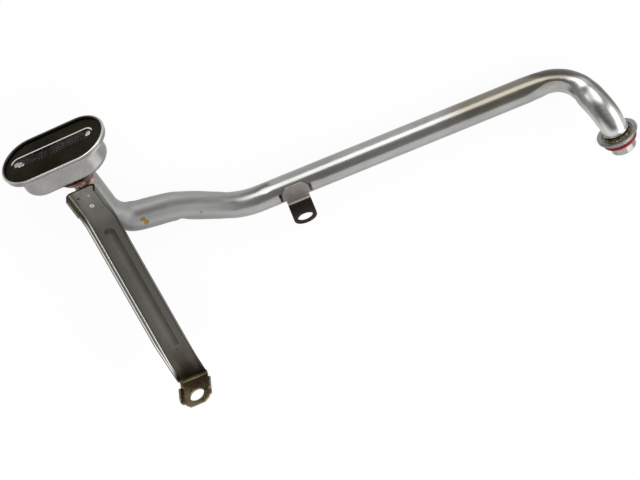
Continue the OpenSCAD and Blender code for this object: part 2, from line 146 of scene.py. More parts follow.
# In the cup's own axes, millimetres: middle of the neck, rim, slot and screen
NECK_AT = (7.4, -4.0)
RIM_HALF, RIM_LINE = 18.5, 21.3
BODY_HALF, BODY_FLAT, BODY_CORNER = 14.7, 13.3, 5.0
SLOT_AT = (-1.3, 2.9)
SLOT_HALF, SLOT_R = 26.75, 5.0
SCREEN_MIDDLE = 20.5
SCREEN_R = 19.4
WIRE_PITCH = 1.7
WIRE_R = 0.2
WIRE_WAVE = 0.1
WIRE_SIDES = 6
# Steps round a turned piece, and the angle from which an edge shows sharp
TURNED_STEPS = 96
SHARP_ANGLE = math.radians(40)

# Outlines of the turned pieces, as radius and height in millimetres: flange and filler from the flange's
# seat, collar from the cup's back
FLANGE_OUTLINE = (
    (9.63, -2.6), (13.1, -2.6), (13.3, -2.2), (13.3, 0.0), (15.4, 0.0), (15.4, 1.6), (12.2, 1.6),
    (11.7, 1.1), (11.7, -1.0), (9.63, -1.0),
)
FILLER_OUTLINE = (
    (9.58, -1.0), (11.65, -1.0), (11.65, 0.7), (10.9, 0.75), (10.3, 1.1), (9.9, 1.9), (9.58, 2.3),
)
COLLAR_OUTLINE = (
    (9.56, 0.0), (14.2, 0.0), (13.0, -1.1), (12.0, -2.4), (11.2, -4.0), (10.6, -5.6), (10.1, -7.0),
    (9.56, -7.6),
)
# Collar, in millimetres: radius of its skin on the tube, its run to one side, and its lumps
COLLAR_SKIN = 9.7
COLLAR_RUN = 5.0
COLLAR_LUMP = 0.30
COLLAR_DRIP = 0.4
# Lumps of the flange's filler, in millimetres: height, size, and how far below the flange they start
FILLER_LUMP = 0.25
FILLER_GRAIN = 1.9
FILLER_FROM = -0.5
# Weld patches on the screen, in millimetres: place along and across the cup, length and width
SCREEN_WELDS = (
    (-30.0, 3.2, 2.0, 2.4), (-27.4, 2.0, 2.2, 2.6), (-25.2, 0.8, 1.6, 1.5), (27.6, 3.6, 1.7, 2.3),
    (26.4, 2.2, 1.1, 1.3),
)
SCREEN_WELD_T = 0.45
# Weld ripples beside the tab, in millimetres: their lines along the run, and the size and sink of each
TAB_WELD_LINES = (-240.6, -218.1)
TAB_RIPPLES = 6
TAB_RIPPLE_SIZE = (0.75, 1.3, 0.6)
TAB_RIPPLE_SINK = 0.25

# Soft boxes: bearing and height in degrees, distance, width and height, and glow
LAMPS = {
    "window_side": (0, 21.5, 1.1, (1.6, 0.70), 3.1),
    "wall_side": (196, 34, 1.2, (2.5, 1.60), 0.95),
    "end_side": (106, 30, 1.1, (1.6, 0.90), 2.2),
}
WORLD_GREY = (0.5, 0.5, 0.5, 1.0)
WORLD_STRENGTH = 0.74
FLOOR_RADIUS = 6.0
FLOOR_MIDDLE = (-0.2, 0.06)
FLOOR_GAP = 0.1 * MM
FAR_CLIP = 50.0


class Value:
    """A socket in a material, so that sums on it are written as Python expressions."""

    def __init__(self, finish, socket):
        self.finish = finish
        self.socket = socket

    def sum(self, operation, *terms):
        return self.finish.node("ShaderNodeMath", {"operation": operation}, dict(enumerate(terms)))

    def __add__(self, other):
        return self.sum("ADD", self, other)

    def __radd__(self, other):
        return self.sum("ADD", other, self)

    def __sub__(self, other):
        return self.sum("SUBTRACT", self, other)

    def __rsub__(self, other):
        return self.sum("SUBTRACT", other, self)

    def __mul__(self, other):
        return self.sum("MULTIPLY", self, other)

    def __rmul__(self, other):
        return self.sum("MULTIPLY", other, self)

    def __pow__(self, other):
        return self.sum("POWER", self, other)

    def __abs__(self):
        return self.sum("ABSOLUTE", self)

    def at_least(self, low):
        return self.sum("MAXIMUM", self, low)

    def at_most(self, high):
        return self.sum("MINIMUM", self, high)

    def clamped(self):
        return self.finish.node("ShaderNodeClamp", {}, {"Value": self})


class Finish:
    """One material, and the nodes that it is made of."""

    def __init__(self, name):
        self.material = bpy.data.materials.new(name)
        self.material.use_nodes = True
        self.tree = self.material.node_tree
        self.tree.nodes.clear()
        self.place = self.node("ShaderNodeTexCoord", {}, {}, "Object")

    def node(self, kind, settings, inputs, output=0):
        """Adds a node, sets it up, fills its sockets with values or links, and returns one output."""
        made = self.tree.nodes.new(kind)
        for name, value in settings.items():
            setattr(made, name, value)
        for name, value in inputs.items():
            if isinstance(value, Value):
                self.tree.links.new(value.socket, made.inputs[name])
            else:
                made.inputs[name].default_value = value
        return Value(self, made.outputs[output]) if made.outputs else None

    def noise(self, size, detail=3.0, stretch=(1.0, 1.0, 1.0), roughness=0.5):
        """Soft noise from 0 to 1, whose lumps are about that many metres across."""
        scaled = self.node("ShaderNodeMapping", {}, {"Vector": self.place, "Scale": stretch})
        settings = {"noise_dimensions": "3D"}
        inputs = {"Vector": scaled, "Scale": 1.0 / size, "Detail": detail, "Roughness": roughness}
        return self.node("ShaderNodeTexNoise", settings, inputs)

    def band(self, value, low, high):
        """0 below low, 1 above high, smooth between them. High below low turns it round."""
        settings = {"interpolation_type": "SMOOTHSTEP"}
        return self.node("ShaderNodeMapRange", settings, {"Value": value, 1: low, 2: high})

    def between(self, value, low, high, edge):
        """1 between two values, 0 outside them."""
        return self.band(value, low - edge, low) * self.band(value, high + edge, high)

    def split(self, place):
        parts = self.node("ShaderNodeSeparateXYZ", {}, {"Vector": place})
        others = [Value(self, parts.socket.node.outputs[i]) for i in (1, 2)]
        return [parts, *others]

    def axes(self):
        return self.split(self.place)

    def cup_axes(self):
        """Place along the cup, across it and over its back."""
        shift, turn, _ = cup_place.inverted().decompose()
        inputs = {"Vector": self.place, "Location": shift, "Rotation": turn.to_euler()}
        return self.split(self.node("ShaderNodeMapping", {}, inputs))

    def along(self, direction):
        inputs = {0: self.place, 1: direction}
        return self.node("ShaderNodeVectorMath", {"operation": "DOT_PRODUCT"}, inputs, "Value")

    def distance(self, point):
        inputs = {0: self.place, 1: [MM * part for part in point]}
        return self.node("ShaderNodeVectorMath", {"operation": "DISTANCE"}, inputs, "Value")

    def near(self, point, reach):
        """1 at a point of the part in millimetres, 0 from that many millimetres away."""
        return self.band(self.distance(point), MM * reach, 0.0)

    def line(self, start, end):
        """Distance from the line between two points of the part in millimetres."""
        start, end = MM * Vector(start), MM * Vector(end)
        run = end - start
        out = self.node("ShaderNodeVectorMath", {"operation": "SUBTRACT"}, {0: self.place, 1: start})
        inputs = {0: out, 1: run / run.length_squared}
        share = self.node("ShaderNodeVectorMath", {"operation": "DOT_PRODUCT"}, inputs, "Value")
        foot = self.node("ShaderNodeVectorMath", {"operation": "SCALE"}, {0: run, "Scale": share.clamped()})
        return self.node("ShaderNodeVectorMath", {"operation": "DISTANCE"}, {0: out, 1: foot}, "Value")

    def path(self, points):
        """Distance from a line through several points of the part in millimetres."""
        nearest = self.line(points[0], points[1])
        for start, end in zip(points[1:], points[2:]):
            nearest = nearest.at_most(self.line(start, end))
        return nearest

    def oval(self, x, y, half):
        """Distance from the middle line of an oval."""
        past = (abs(x) - MM * half).at_least(0.0)
        return (past * past + y * y) ** 0.5

    def mix(self, share, first, second):
        """Colour that goes from the first to the second as share goes from 0 to 1."""
        colours = [c if isinstance(c, Value) else (*c, 1.0) for c in (first, second)]
        inputs = {0: share, 6: colours[0], 7: colours[1]}
        return self.node("ShaderNodeMix", {"data_type": "RGBA"}, inputs, 2)

    def bump(self, height, distance, strength):
        inputs = {"Height": height, "Distance": distance, "Strength": strength}
        return self.node("ShaderNodeBump", {}, inputs)

    def surface(self, **sockets):
        """Ends the material in one shader, with socket names written with _ for a space."""
        inputs = {name.replace("_", " "): value for name, value in sockets.items()}
        shader = self.node("ShaderNodeBsdfPrincipled", {}, inputs)
        self.node("ShaderNodeOutputMaterial", {}, {"Surface": shader})
        return self.material


class Steel(Finish):
    """A finish with the mottle, grain and fine scratches of bare steel."""

    def __init__(self, name, colour, dark, roughness, grain=(1.0, 1.0, 1.0)):
        super().__init__(name)
        cloud = self.noise(26 * MM, 4.0)
        self.mottle = self.noise(2.2 * MM, 5.0, grain, 0.65)
        scratch = self.noise(0.5 * MM, 2.0, grain, 0.7)
        share = self.band(0.6 * cloud + 0.4 * self.mottle, 0.38, 0.62)
        self.shade = self.mix(share, dark, colour)
        self.rough = roughness + 0.12 * (self.mottle - 0.5) + 0.10 * (cloud - 0.5)
        self.relief = 0.7 * self.mottle + 0.3 * scratch
        self.metal = 1.0

    def tint(self, share, colour):
        self.shade = self.mix(share, self.shade, colour)

    def done(self, height, strength=0.5, **sockets):
        sockets["Normal"] = self.bump(self.relief, height, strength)
        return self.surface(Base_Color=self.shade, Metallic=self.metal, Roughness=self.rough, **sockets)


# Tube: its light and dark shade, grain, and zones in metres along X (and Y for the straw side)
TUBE_SHADES = (0.33, 0.33, 0.32), (0.275, 0.275, 0.265)
TUBE_GRAIN = (0.25, 1.0, 1.0)
DULL_ZONE = (-0.245, -0.300)
LEG_ZONE = (-0.022, -0.012)
STRAW_ZONE = (-0.090, -0.035)
STRAW_SIDE = (0.053, 0.061)
# Along the spigot's axis, in metres from the origin: burnt ring in the dish, and the leg over it that is
# painted lighter
BURNT_RING = (8.0 * MM, 13.1 * MM)
LIGHTENED_LEG = (13.0 * MM, 16.0 * MM)
# Tints of the tube
DULL_GREY = (0.24, 0.24, 0.23)
PAINTED_LIGHT_GREY = (0.37, 0.37, 0.36)
LEG_PAINTED_LIGHT = (0.58, 0.58, 0.565)
PAINTED_SHADE_GREY = (0.08, 0.08, 0.076)
STRAW = (0.17, 0.148, 0.105)
BEND_PAINTED_SHADE = (0.06, 0.052, 0.041)
HEAT_BROWN = (0.10, 0.075, 0.05)
BURNT_BROWNS = (0.04, 0.03, 0.018), (0.20, 0.15, 0.09)
OCHRE = (0.28, 0.14, 0.012)
PIT_GREY = (0.05, 0.05, 0.045)
SMEAR_COPPERS = (0.12, 0.05, 0.035), (0.44, 0.33, 0.29)
# Marks on the tube, in millimetres: heat round the tab, ochre spots, pits, copper smeared on the neck
TAB_HEAT = (-229.4, 55.0, -15.5)
TAB_HEAT_REACH = 18
OCHRE_SPOTS = ((-337.14, 80.04, -13.94), (-335.66, 76.72, -14.34))
TUBE_PITS = ((-334.43, 85.82, -16.38), (-297.03, 67.6, -14.9))
NECK_SMEAR = (-369.0, 127.0, -2.5)


def tube_finish():
    """Drawn steel: straw tint by the pump bend, brown heat at the flange and tab, duller in the jog; painted
    shade on the pump bend's outer and upper side and in dark bands along the jog and pump leg, and painted
    light on the pump leg and along one side of the jog.
    """
    steel = Steel("satin_tube", *TUBE_SHADES, 0.24, TUBE_GRAIN)
    x, y, _ = steel.axes()
    up_spigot = steel.along(-spigot_out)
    dull = steel.band(x, *DULL_ZONE)
    steel.tint(0.8 * dull, DULL_GREY)
    steel.metal = 1.0 - 0.45 * dull
    # Painted light: a lighter band along one side of the jog
    pale = steel.band(steel.path(JOG_PAINTED_LIGHT_LINE), 6.5 * MM, 2.5 * MM)
    steel.tint(0.6 * pale * dull, PAINTED_LIGHT_GREY)
    leg = steel.band(x, *LEG_ZONE)
    # Painted light: the leg to the pump is painted lighter over the dish
    steel.tint(0.75 * leg * steel.band(up_spigot, *LIGHTENED_LEG), LEG_PAINTED_LIGHT)
    ragged = 2.0 * MM * (steel.mottle - 0.5)
    # Painted shade: dark bands along the jog and along the leg to the pump
    for shaded_line in (JOG_PAINTED_SHADE, LEG_PAINTED_SHADE):
        dark = steel.band(steel.path(shaded_line) + ragged, 4.4 * MM, 0.4 * MM)
        steel.tint(0.7 * dark, PAINTED_SHADE_GREY)
    steel.rough = steel.rough + 0.26 * dull + 0.04 * leg
    straw = steel.between(x, *STRAW_ZONE, 0.030) * steel.band(y, *STRAW_SIDE)
    steel.tint(0.75 * straw, STRAW)
    # Painted shade on the outer and upper side of the pump bend
    bend_shade = steel.band(steel.along(BEND_OUT) - BEND_EDGE, 0.0, 3.2 * MM)
    bend_shade = bend_shade + steel.band(steel.along(BEND_UP) - BEND_TOP, 0.0, 4.0 * MM)
    steel.tint(0.82 * bend_shade.clamped(), BEND_PAINTED_SHADE)
    heat = steel.near(TAB_HEAT, TAB_HEAT_REACH) * (0.3 + 0.7 * steel.noise(4 * MM))
    steel.tint((0.6 * heat).clamped(), HEAT_BROWN)
    burnt = steel.between(up_spigot, *BURNT_RING, 0.3 * MM)
    steel.tint(0.9 * burnt, steel.mix(steel.mottle, *BURNT_BROWNS))
    for spot in OCHRE_SPOTS:
        ragged = steel.distance(spot) + 2.4 * MM * (steel.noise(1.8 * MM) - 0.5)
        steel.tint(0.9 * steel.band(ragged, 2.3 * MM, 1.5 * MM), OCHRE)
    for spot in TUBE_PITS:
        steel.tint(0.75 * steel.near(spot, 1.5), PIT_GREY)
    smear = steel.band(steel.distance(NECK_SMEAR), 16 * MM, 8 * MM)
    copper = steel.mix(steel.band(steel.mottle, 0.4, 0.6), *SMEAR_COPPERS)
    steel.tint((0.9 * smear).clamped(), copper)
    return steel.done(0.04 * MM, 0.4)


FLANGE_SHADES = (0.29, 0.29, 0.28), (0.225, 0.225, 0.217)
FLUX_BROWN = (0.12, 0.10, 0.07)


def flange_finish():
    """Silver steel with a brown flux stain on one side of the dish."""
    steel = Steel("silver_flange", *FLANGE_SHADES, 0.34)
    stained = steel.band(steel.along(FLANGE_STAIN_SIDE) - STAIN_FROM, 0.0, 3.0 * MM)
    steel.tint(0.55 * stained * steel.band(steel.mottle, 0.3, 0.65), FLUX_BROWN)
    return steel.done(0.05 * MM)


# Cup: shades, tints, and heights over its back in metres
CUP_SHADES = (0.29, 0.285, 0.271), (0.225, 0.22, 0.209)
RIM_PAINTED_HIGHLIGHT = (0.52, 0.51, 0.49)
INSIDE_PAINTED_SHADE = (0.016, 0.0145, 0.012)
RIM_PAINTED_SHADOW = (0.04, 0.038, 0.034)
OVER_LEDGE = (0.019, 0.0195)
RIM_GROOVE = (0.0213, 0.0220)
RIM_CROWN = (0.0224, 0.0228)


def cup_finish():
    """Satin drawn steel, with painted shade inside it, a painted highlight on the crown of its rolled rim,
    and a painted shadow under the rim.
    """
    steel = Steel("drawn_cup", *CUP_SHADES, 0.36)
    x, y, z = steel.cup_axes()
    rim = steel.oval(x, y, RIM_HALF)
    inside_rim = steel.band(rim, MM * (RIM_LINE + 0.25), MM * (RIM_LINE - 0.35))
    past_flat = (steel.oval(x, y, BODY_HALF) - MM * BODY_FLAT).at_least(0.0)
    below = (MM * BODY_CORNER - z).at_least(0.0)
    shell = (past_flat * past_flat + below * below) ** 0.5
    inside_body = steel.band(shell, MM * (BODY_CORNER - 0.4), MM * (BODY_CORNER - 0.6))
    # Painted shade inside the cup, over the ledge and in the body
    inside_shade = inside_rim * steel.band(z, *OVER_LEDGE) + inside_body
    # Painted highlight along the crown of the rolled rim
    steel.tint(0.8 * steel.band(z, *RIM_CROWN), RIM_PAINTED_HIGHLIGHT)
    steel.tint(0.96 * inside_shade.clamped(), INSIDE_PAINTED_SHADE)
    # Painted shadow under the rolled rim
    rim_shadow = steel.between(z, *RIM_GROOVE, 0.3 * MM) * steel.band(rim, MM * 21.2, MM * 21.6)
    steel.tint(0.9 * rim_shadow, RIM_PAINTED_SHADOW)
    return steel.done(0.05 * MM)


# Strap: shades, grain and tints
STRAP_SHADES = (0.165, 0.158, 0.14), (0.115, 0.11, 0.095)
STRAP_GRAIN = (1.0, 0.3, 1.0)
UPPER_GREY = (0.08, 0.08, 0.073)
MIDDLE_GREY = (0.14, 0.128, 0.113)
LOWER_BROWN = (0.034, 0.027, 0.016)
FOOT_BRONZES = (0.10, 0.075, 0.038), (0.24, 0.19, 0.115)
SIDE_GREY = (0.09, 0.085, 0.073)
FOLD_HIGHLIGHT_SHADES = (0.16, 0.14, 0.10), (0.75, 0.74, 0.70)
LIP_PAINTED_SHADE = (0.045, 0.04, 0.032)
DIMPLE_SILVER = (0.50, 0.50, 0.48)
PIT_BLACK = (0.008, 0.007, 0.006)
# Zones of the strap, in metres along Y
STRAP_UPPER = (0.118, 0.100)
FOLD_HIGHLIGHT_ZONE = (0.102, 0.088)
STRAP_CHANNEL = (0.100, 0.085)
STRAP_MIDDLE = (0.060, 0.005)
STRAP_LOWER = (-0.002, -0.036)
STRAP_LEG = (-0.040, -0.030)
STRAP_FOOT = (-0.0405, -0.0445)
# Zones of the strap, in metres across it
STRAP_BEAD = (1.6 * MM, 6.6 * MM)
FOLD_HIGHLIGHT_LINE = (-6.5 * MM, -5.5 * MM)
LEFT_LIP = (-6.7 * MM, -7.1 * MM)
RIGHT_LIP = (14.4 * MM, 15.0 * MM)
# Marks on the strap, in millimetres
STRAP_DIMPLE = (-365.27, 117.48, -2.76)
STRAP_RING = (-366.06, 107.89, -5.82)
STRAP_PIT = (-372.98, 117.34, -4.24)


def strap_finish():
    """Grey pressed steel that darkens to brown towards the foot, with a painted highlight along a fold and
    painted shade on its lips.
    """
    steel = Steel("pressed_strap", *STRAP_SHADES, 0.36, STRAP_GRAIN)
    _, y, _ = steel.axes()
    across, _, _ = steel.cup_axes()
    steel.tint(0.6 * steel.band(y, *STRAP_UPPER), UPPER_GREY)
    steel.tint(0.6 * steel.band(y, *STRAP_MIDDLE), MIDDLE_GREY)
    steel.tint(0.93 * steel.band(y, *STRAP_LOWER), LOWER_BROWN)
    bronze = steel.mix(steel.band(steel.mottle, 0.3, 0.7), *FOOT_BRONZES)
    steel.tint(0.92 * steel.band(y, *STRAP_FOOT), bronze)
    leg = steel.band(y, *STRAP_LEG)
    off_bead = 1.0 - steel.between(across, *STRAP_BEAD, 3.5 * MM)
    steel.tint(0.6 * off_bead * steel.band(y, *STRAP_CHANNEL) * leg, SIDE_GREY)
    # Painted highlight along the left fold, dark brown near the top
    fold_highlight = steel.between(across, *FOLD_HIGHLIGHT_LINE, 0.6 * MM) * leg
    steel.tint(0.9 * fold_highlight, steel.mix(steel.band(y, *FOLD_HIGHLIGHT_ZONE), *FOLD_HIGHLIGHT_SHADES))
    # Painted shade on the strap's lips
    lip_shade = steel.band(across, *LEFT_LIP) + steel.band(across, *RIGHT_LIP)
    steel.tint(0.8 * lip_shade.clamped() * leg, LIP_PAINTED_SHADE)
    ring = steel.between(steel.distance(STRAP_RING), 0.8 * MM, 1.4 * MM, 0.5 * MM)
    dimples = steel.near(STRAP_DIMPLE, 1.2) + ring
    steel.tint((0.8 * dimples).clamped(), DIMPLE_SILVER)
    pit = steel.near(STRAP_PIT, 1.7)
    steel.tint(pit, PIT_BLACK)
    steel.relief = steel.relief + 6.0 * dimples - 8.0 * pit
    return steel.done(0.05 * MM, 0.4)


# Tab: shades, tints, and where its middle, sides, upper edge and fold lie, in metres
TAB_SHADES = (0.29, 0.265, 0.235), (0.20, 0.18, 0.155)
TAB_EDGE_PAINTED_SHADE = (0.04, 0.031, 0.022)
FOOT_BROWN = (0.016, 0.0125, 0.009)
DIMPLE_GREY = (0.38, 0.37, 0.34)
TAB_MIDDLE = -229.33 * MM
TAB_SIDES = (9.8 * MM, 10.15 * MM)
TAB_TOP = (60.5 * MM, 61.0 * MM)
TAB_FOLD = (-0.0134, -0.0126)
# Spot weld on the tab, in millimetres
TAB_DIMPLE = (-230.85, 56.57, -13.73)


def tab_finish():
    """Pale leg with a spot weld's dimple and painted shade along its sides and upper edge, and a burnt brown
    foot.
    """
    steel = Steel("heated_tab", *TAB_SHADES, 0.45)
    x, y, z = steel.axes()
    foot = steel.band(z, *TAB_FOLD)
    steel.metal = 0.3 + 0.7 * foot
    # Painted shade along the sides and upper edge of the tab's leg
    edges = steel.band(abs(x - TAB_MIDDLE), *TAB_SIDES) + steel.band(y, *TAB_TOP)
    steel.tint(0.85 * edges.clamped(), TAB_EDGE_PAINTED_SHADE)
    steel.tint(0.95 * foot, FOOT_BROWN)
    dimple = steel.near(TAB_DIMPLE, 3.2)
    steel.tint(0.35 * dimple, DIMPLE_GREY)
    steel.relief = steel.relief - 5.0 * dimple
    return steel.done(0.06 * MM, 0.6)


COVER_SHADES = (0.028, 0.0255, 0.020), (0.017, 0.0155, 0.0115)
COVER_EDGE_ON = (0.35, 0.33, 0.30, 1.0)
CUT_EDGE_AND_HIGHLIGHT = (0.75, 0.74, 0.72)


def cover_finish():
    """Oil-blackened sheet with a bright cut edge along one side of its slot, partly bare steel and partly a
    painted highlight.
    """
    steel = Steel("blackened_cover", *COVER_SHADES, 0.33)
    x, y, _ = steel.cup_axes()
    over = y - MM * SLOT_AT[1]
    slot = steel.oval(x - MM * SLOT_AT[0], over, SLOT_HALF)
    # Bright bare steel of the cut edge with a painted highlight, on the slot's far side only
    edge = steel.band(slot, MM * (SLOT_R + 1.2), MM * (SLOT_R + 0.8)) * steel.band(over, 0.0, 3.0 * MM)
    steel.tint(0.97 * edge, CUT_EDGE_AND_HIGHLIGHT)
    return steel.done(0.06 * MM, 0.6, Specular_Tint=COVER_EDGE_ON)


# Light and dark shades of the wires, the welds, the filler metal, the seal and the floor
WIRE_SHADES = (0.14, 0.137, 0.126), (0.005, 0.0046, 0.0042)
SCREEN_WELD_SHADES = (0.50, 0.50, 0.48), (0.12, 0.12, 0.11)
TAB_WELD_SHADES = (0.12, 0.09, 0.06), (0.02, 0.015, 0.01)
COPPER_SHADES = (0.25, 0.11, 0.08), (0.06, 0.020, 0.014)
COPPER_PINK = (0.40, 0.30, 0.27)
BRAZE_SHADES = (0.24, 0.23, 0.21), (0.12, 0.11, 0.095)
BRAZE_BROWNS = (0.035, 0.026, 0.014), (0.22, 0.165, 0.09)
SEAL_REDS = (0.22, 0.003, 0.006), (0.32, 0.005, 0.010)
FLOOR_SHADES = (0.86, 0.86, 0.86), (0.88, 0.88, 0.88)
# Share of the floor that shows as white, with the rest left to its shadow
FLOOR_WHITE = 0.94


def wire_finish():
    """Dull wire of the screen."""
    steel = Steel("screen_wire", *WIRE_SHADES, 0.26)
    return steel.done(0.03 * MM)


def weld_finish():
    """Bright grey lumps of weld metal that hold the screen."""
    steel = Steel("screen_weld", *SCREEN_WELD_SHADES, 0.36)
    return steel.done(0.25 * MM, 1.0)


def burnt_finish():
    """Heat-darkened ripples of weld metal beside the tab."""
    steel = Steel("burnt_weld", *TAB_WELD_SHADES, 0.36)
    return steel.done(0.12 * MM, 0.8)


def copper_finish():
    """Dull copper-red filler metal, mottled pink and dark."""
    steel = Steel("copper_braze", *COPPER_SHADES, 0.42)
    steel.tint(0.8 * steel.band(steel.noise(3 * MM), 0.52, 0.66), COPPER_PINK)
    steel.metal = 0.4
    return steel.done(0.16 * MM, 0.9)


def brown_braze_finish():
    """Filler metal in the flange's dish, grey, and brown on the stained side."""
    steel = Steel("brown_braze", *BRAZE_SHADES, 0.30)
    stained = steel.band(steel.along(FLANGE_STAIN_SIDE) - STAIN_FROM, -3.0 * MM, 2.0 * MM)
    steel.tint(0.92 * stained, steel.mix(steel.band(steel.mottle, 0.4, 0.66), *BRAZE_BROWNS))
    return steel.done(0.14 * MM, 0.8)


def seal_finish():
    """Smooth deep red rubber."""
    finish = Finish("red_seal")
    mottle = finish.noise(1.5 * MM)
    shade = finish.mix(finish.band(mottle, 0.3, 0.7), *SEAL_REDS)
    normal = finish.bump(mottle, 0.03 * MM, 0.5)
    rough = 0.35 + 0.1 * mottle
    return finish.surface(Base_Color=shade, Roughness=rough, Specular_IOR_Level=0.22, Normal=normal)


def floor_finish():
    """Pale floor that shows white to the eye and to bright metal, with the part's faint shadow on it."""
    finish = Finish("pale_floor")
    cloud = finish.noise(0.4, 2.0)
    shade = finish.mix(cloud, *FLOOR_SHADES)
    seen = finish.node("ShaderNodeLightPath", {}, {}, "Is Camera Ray")
    glossy = Value(finish, seen.socket.node.outputs["Is Glossy Ray"])
    through = Value(finish, seen.socket.node.outputs["Is Transmission Ray"])
    matt = finish.node("ShaderNodeBsdfDiffuse", {}, {"Color": shade})
    white = finish.node("ShaderNodeEmission", {}, {"Strength": 1.0})
    shown = FLOOR_WHITE * (seen + glossy + through).clamped()
    both = finish.node("ShaderNodeMixShader", {}, {0: shown, 1: matt, 2: white})
    finish.node("ShaderNodeOutputMaterial", {}, {"Surface": both})
    return finish.material


def add_piece(name, bm, finish, slot, *stands_for):
    """Makes a piece of a finished shape, fixed to the part."""
    mesh = bpy.data.meshes.new(name)
    bm.to_mesh(mesh)
    bm.free()
    mesh.shade_smooth()
    mesh.set_sharp_from_angle(angle=SHARP_ANGLE)
    mesh.materials.append(finish)
    piece = bpy.data.objects.new(name, mesh)
    bpy.context.scene.collection.objects.link(piece)
    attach(piece, "root")
    for node in stands_for:
        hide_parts(node)


def ring_places(start, end):
    """Places of the rings on a length of the tube in millimetres, those of the spigot's steps among them."""
    step = FINE_STEP if start < FINE_UNTIL else RING_STEP
    count = max(1, round((end - start) / step))
    even = [start + (end - start) * k / count for k in range(1, count + 1)]
    return sorted(even + [at for at, _ in SPIGOT if start < at < end])


def grow(bm, edges):
    """Extrudes an open ring of edges, and returns the vertices and edges of the new ring."""
    grown = bmesh.ops.extrude_edge_only(bm, edges=edges)["geom"]
    verts = [part for part in grown if isinstance(part, bmesh.types.BMVert)]
    ring = [part for part in grown if isinstance(part, bmesh.types.BMEdge) and part.is_boundary]
    return verts, ring


def tube_moves():
    """Walks the middle line: yields each ring's place along it and the move to it from the last ring."""
    corners = [MM * Vector(point) for point, _ in ROUTE]
    here, along = corners[0], 0.0
    for i in range(1, len(corners)):
        heading = (corners[i] - corners[i - 1]).normalized()
        ends = i + 1 == len(corners)
        ahead = heading if ends else (corners[i + 1] - corners[i]).normalized()
        turn, radius = heading.angle(ahead), ROUTE[i][1]
        tangent = MM * radius * math.tan(turn / 2)
        span = (corners[i] - here).length / MM - tangent / MM
        for at in ring_places(along, along + span):
            yield at, Matrix.Translation(MM * (at - along) * heading)
            span -= at - along
            along = at
        if ends:
            return
        axis = heading.cross(ahead).normalized()
        centre = corners[i] - tangent * heading + MM * radius * axis.cross(heading)
        for at in ring_places(along, along + radius * turn):
            swing = Matrix.Rotation((at - along) / radius, 4, axis)
            yield at, Matrix.Translation(centre) @ swing @ Matrix.Translation(-centre)
            along = at
        here = corners[i] + tangent * ahead


def read_off(table, at):
    """Value at a place along the tube, eased between the places that a table gives."""
    for (start, low), (end, high) in zip(table, table[1:]):
        if at <= end:
            share = (at - start) / (end - start)
            return low + (high - low) * share * share * (3 - 2 * share)
    return table[-1][1]


def shape_ring(bm, verts, at, middle, heading):
    """Gives one ring of the tube its width and radius, and presses the flats into it."""
    across = heading.cross(PRESSED_FROM).normalized()
    basis = Matrix((across, heading.cross(across), heading)).transposed().to_4x4()
    radius = 1 + read_off(SPIGOT, at) / TUBE_R
    wide = read_off(WIDTHS, at)
    sizes = Matrix.Diagonal((radius * wide, radius / wide, 1, 1))
    away = Matrix.Translation(middle) @ basis
    bmesh.ops.transform(bm, matrix=away @ sizes @ away.inverted(), verts=verts)
    for place, reach, side, depth in FLATS:
        share = max(0.0, 1 - ((at - place) / reach) ** 2) ** 2
        if not share:
            continue
        outward = Vector(side)
        outward = (outward - outward.dot(heading) * heading).normalized()
        farthest = max((vert.co - middle).dot(outward) for vert in verts)
        limit = farthest - MM * depth * share
        for vert in verts:
            over = (vert.co - middle).dot(outward) - limit
            if over > 0:
                vert.co -= over * outward


def add_tube():
    """The bent tube, flattened a little where it was bent and pressed."""
    bm = bmesh.new()
    tip = MM * Vector(ROUTE[0][0])
    heading = -spigot_out
    stand = Matrix.Translation(tip) @ heading.to_track_quat("Z", "Y").to_matrix().to_4x4()
    bmesh.ops.create_circle(bm, segments=TUBE_SIDES, radius=MM * TUBE_R, matrix=stand)
    rings = [(bm.verts[:], 0.0, tip, heading)]
    edges = bm.edges[:]
    for at, move in tube_moves():
        verts, edges = grow(bm, edges)
        bmesh.ops.transform(bm, matrix=move, verts=verts)
        _, _, middle, heading = rings[-1]
        rings.append((verts, at, move @ middle, move.to_3x3() @ heading))
    for ring in rings:
        shape_ring(bm, *ring)
    bmesh.ops.recalc_face_normals(bm, faces=bm.faces)
    bmesh.ops.solidify(bm, geom=bm.faces[:], thickness=MM * TUBE_WALL)
    add_piece("bent_tube", bm, tube_finish(), "tube_steel", "suction_tube")


def turned(outline, rounding, place):
    """Spins a closed outline of radius and height points in millimetres, with its corners rounded."""
    bm = bmesh.new()
    corners = [bm.verts.new((MM * radius, 0.0, MM * height)) for radius, height in outline]
    bm.faces.new(corners)
    bmesh.ops.bevel(bm, geom=corners, offset=MM * rounding, offset_type="OFFSET", affect="VERTICES",
                    segments=4, profile=0.5, material=-1)
    bmesh.ops.delete(bm, geom=bm.faces[:], context="FACES_ONLY")
    bmesh.ops.spin(bm, geom=bm.verts[:] + bm.edges[:], axis=(0, 0, 1), cent=(0, 0, 0),
                   angle=math.tau, steps=TURNED_STEPS, use_merge=True)
    bmesh.ops.remove_doubles(bm, verts=bm.verts, dist=0.001 * MM)
    bmesh.ops.recalc_face_normals(bm, faces=bm.faces)
    bmesh.ops.transform(bm, matrix=place, verts=bm.verts)
    return bm


def spigot_place(up):
    """Place on the spigot's axis, that far up from the origin in millimetres, with Z up the tube."""
    turn = (-spigot_out).to_track_quat("Z", "Y").to_matrix().to_4x4()
    return Matrix.Translation(-MM * up * spigot_out) @ turn


def add_flange():
    """The dished flange, with the soft corners of a pressing."""
    bm = turned(FLANGE_OUTLINE, 0.18, spigot_place(FLANGE_SEAT))
    add_piece("dished_flange", bm, flange_finish(), "tube_steel", "pump_flange")


